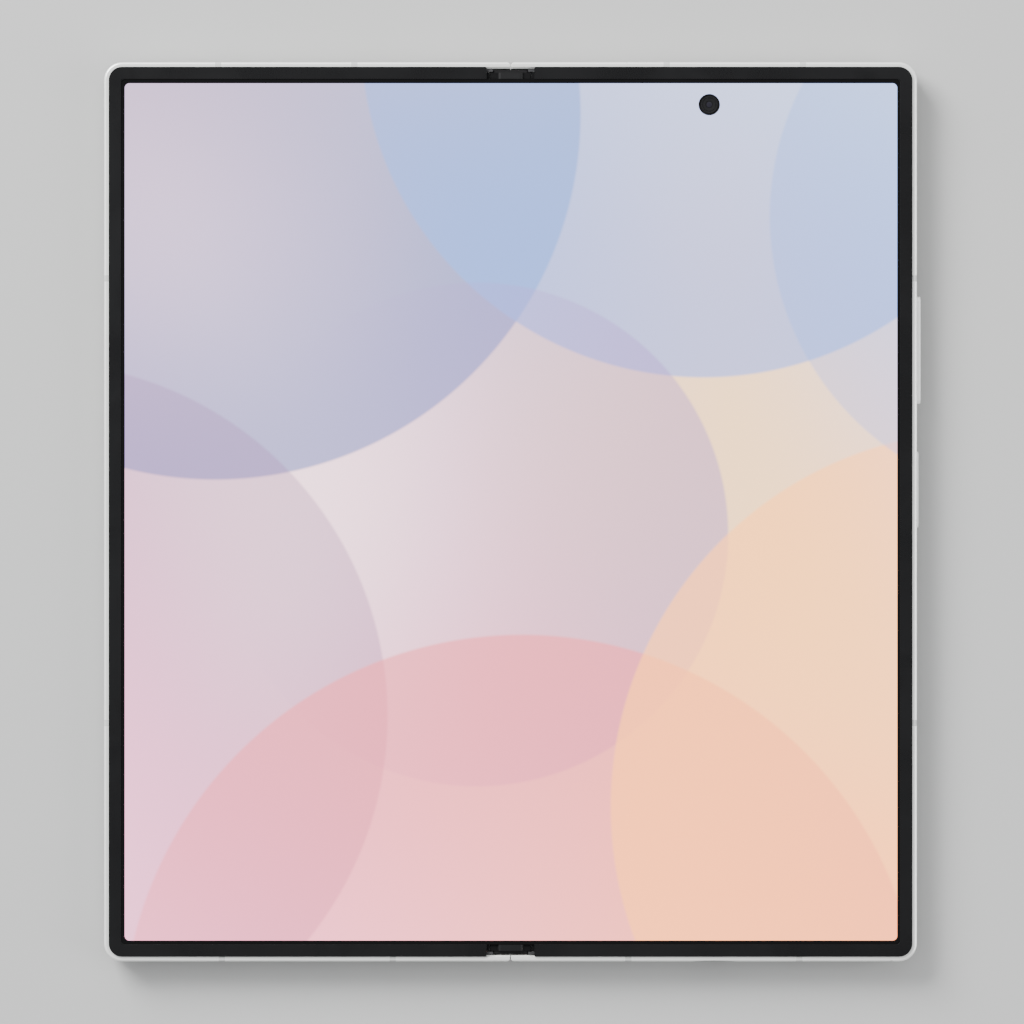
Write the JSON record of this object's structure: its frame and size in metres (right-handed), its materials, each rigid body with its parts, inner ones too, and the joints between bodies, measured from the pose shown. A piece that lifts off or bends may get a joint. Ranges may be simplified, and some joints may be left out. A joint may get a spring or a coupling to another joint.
{
  "type": "foldable smartphone",
  "caption": "Book-style folding phone with a flexible inner screen, synchronised hinge, cover screen, rear camera island, keys and card tray.",
  "frame": {"origin": "on the table under the seam, halfway up the phone's height; the rear camera rings touch z = 0", "axes": "+X to the right across the seam, +Y to the phone's top, +Z out of the inner screen"},
  "size_m": [0.1439, 0.1584, 0.0062],
  "materials": {
    "spine_aluminium": "satin",
    "cap_plastic": "satin",
    "hinge_steel": "satin",
    "support_steel": "satin",
    "screw_steel": "satin",
    "flexible_screen": "gloss",
    "flex_polyimide": "satin",
    "frame_aluminium": "satin",
    "antenna_plastic": "satin",
    "black_glass": "gloss",
    "cover_panel": "gloss",
    "bezel_rubber": "satin",
    "battery_foil": "satin",
    "circuit_board": "satin",
    "camera_black": "gloss",
    "speaker_plastic": "matte",
    "shield_steel": "satin",
    "card_plastic": "satin",
    "rear_glass_satin": "satin",
    "lens_glass": "gloss",
    "island_aluminium": "satin",
    "ring_aluminium": "polished",
    "flash_lens": "gloss",
    "coil_copper": "satin",
    "gear_brass": "satin"
  },
  "bodies": {
    "spine": {"hinge_spine": "spine_aluminium", "hinge_end_cap_top": "cap_plastic", "hinge_end_cap_bottom": "cap_plastic", "hinge_bracket_upper": "hinge_steel", "hinge_bracket_lower": "hinge_steel", "center_support_plate": "support_steel", "gear_shafts": "hinge_steel", "hinge_springs": "hinge_steel", "hinge_screws": "screw_steel", "display_fold_strip": "flexible_screen", "hinge_flex_cable": "flex_polyimide"},
    "left_half": {"left_frame": "frame_aluminium", "left_antenna_bands": "antenna_plastic", "cover_glass": "black_glass", "cover_display": "cover_panel", "left_bezel": "bezel_rubber", "main_display_left": "flexible_screen", "left_display_plate": "support_steel", "left_battery": "battery_foil", "left_board": "circuit_board", "left_lower_board": "circuit_board", "cover_camera": "camera_black", "earpiece_speaker": "speaker_plastic", "sim_reader": "shield_steel", "left_hinge_arms": "hinge_steel", "left_screws": "screw_steel"},
    "card_tray": {"sim_tray": "frame_aluminium", "sim_card": "card_plastic"},
    "right_half": {"right_frame": "frame_aluminium", "right_antenna_bands": "antenna_plastic", "rear_glass": "rear_glass_satin", "right_bezel": "bezel_rubber", "main_display_right": "flexible_screen", "right_display_plate": "support_steel", "right_battery": "battery_foil", "main_board": "circuit_board", "board_shields": "shield_steel", "charge_board": "circuit_board", "usb_port": "shield_steel", "bottom_speaker": "speaker_plastic", "haptic_motor": "shield_steel", "front_camera": "camera_black", "front_camera_lens": "lens_glass", "camera_island": "island_aluminium", "camera_rings": "ring_aluminium", "camera_lens_covers": "lens_glass", "camera_modules": "camera_black", "flash_led": "flash_lens", "charging_coil": "coil_copper", "right_hinge_arms": "hinge_steel", "right_screws": "screw_steel", "key_switches": "flex_polyimide"},
    "volume_rocker": {"volume_key": "frame_aluminium"},
    "power_key": {"side_key": "frame_aluminium"},
    "left_wing": {"left_wing_plate": "support_steel"},
    "right_wing": {"right_wing_plate": "support_steel"},
    "left_swing": {"left_swing_arm": "hinge_steel"},
    "right_swing": {"right_swing_arm": "hinge_steel"},
    "left_idler": {"left_idler_gear": "gear_brass"},
    "right_idler": {"right_idler_gear": "gear_brass"}
  },
  "joints": [
    {"name": "left_fold", "type": "hinge", "parent": "spine", "child": "left_half", "pos_m": [-0.00125, 0, 0.0052], "axis": [0, 1, 0], "range_deg": [0, 90], "deforming": ["display_fold_strip", "hinge_flex_cable"]},
    {"name": "right_fold", "type": "hinge", "parent": "spine", "child": "right_half", "pos_m": [0.00125, 0, 0.0052], "axis": [0, -1, 0], "range_deg": [0, 90]},
    {"name": "left_wing_tilt", "type": "hinge", "parent": "left_half", "child": "left_wing", "pos_m": [-0.0088, 0, 0.00515], "axis": [0, 1, 0], "range_deg": [0, 11.25]},
    {"name": "right_wing_tilt", "type": "hinge", "parent": "right_half", "child": "right_wing", "pos_m": [0.0088, 0, 0.00515], "axis": [0, -1, 0], "range_deg": [0, 11.25]},
    {"name": "left_swing_turn", "type": "hinge", "parent": "spine", "child": "left_swing", "pos_m": [-0.0018, 0, 0.0042], "axis": [0, 1, 0], "range_deg": [0, 90]},
    {"name": "right_swing_turn", "type": "hinge", "parent": "spine", "child": "right_swing", "pos_m": [0.0018, 0, 0.0042], "axis": [0, -1, 0], "range_deg": [0, 90]},
    {"name": "left_idler_turn", "type": "hinge", "parent": "spine", "child": "left_idler", "pos_m": [-0.0006, 0, 0.0042], "axis": [0, 1, 0], "range_deg": [-90, 0]},
    {"name": "right_idler_turn", "type": "hinge", "parent": "spine", "child": "right_idler", "pos_m": [0.0006, 0, 0.0042], "axis": [0, -1, 0], "range_deg": [-90, 0]},
    {"name": "volume_rock", "type": "hinge", "parent": "right_half", "child": "volume_rocker", "pos_m": [0.0704, 0.0285, 0.00395], "axis": [0, 0, 1], "range_deg": [-1.1, 1.1], "stiffness_Nm_per_rad": 0.3},
    {"name": "side_key_press", "type": "slide", "parent": "right_half", "child": "power_key", "axis": [-1, 0, 0], "range_m": [0, 0.00025], "stiffness_N_per_m": 1500, "springref_m": -0.0004},
    {"name": "card_tray_slide", "type": "slide", "parent": "left_half", "child": "card_tray", "axis": [-1, 0, 0], "range_m": [0, 0.018]}
  ],
  "couplings": [
    {"joint": "right_fold", "follows": "left_fold", "ratio": 1},
    {"joint": "left_wing_tilt", "follows": "left_fold", "ratio": 0.125},
    {"joint": "right_wing_tilt", "follows": "left_fold", "ratio": 0.125},
    {"joint": "left_swing_turn", "follows": "left_fold", "ratio": 1},
    {"joint": "right_swing_turn", "follows": "left_fold", "ratio": 1},
    {"joint": "left_idler_turn", "follows": "left_fold", "ratio": -1},
    {"joint": "right_idler_turn", "follows": "left_fold", "ratio": -1}
  ]
}
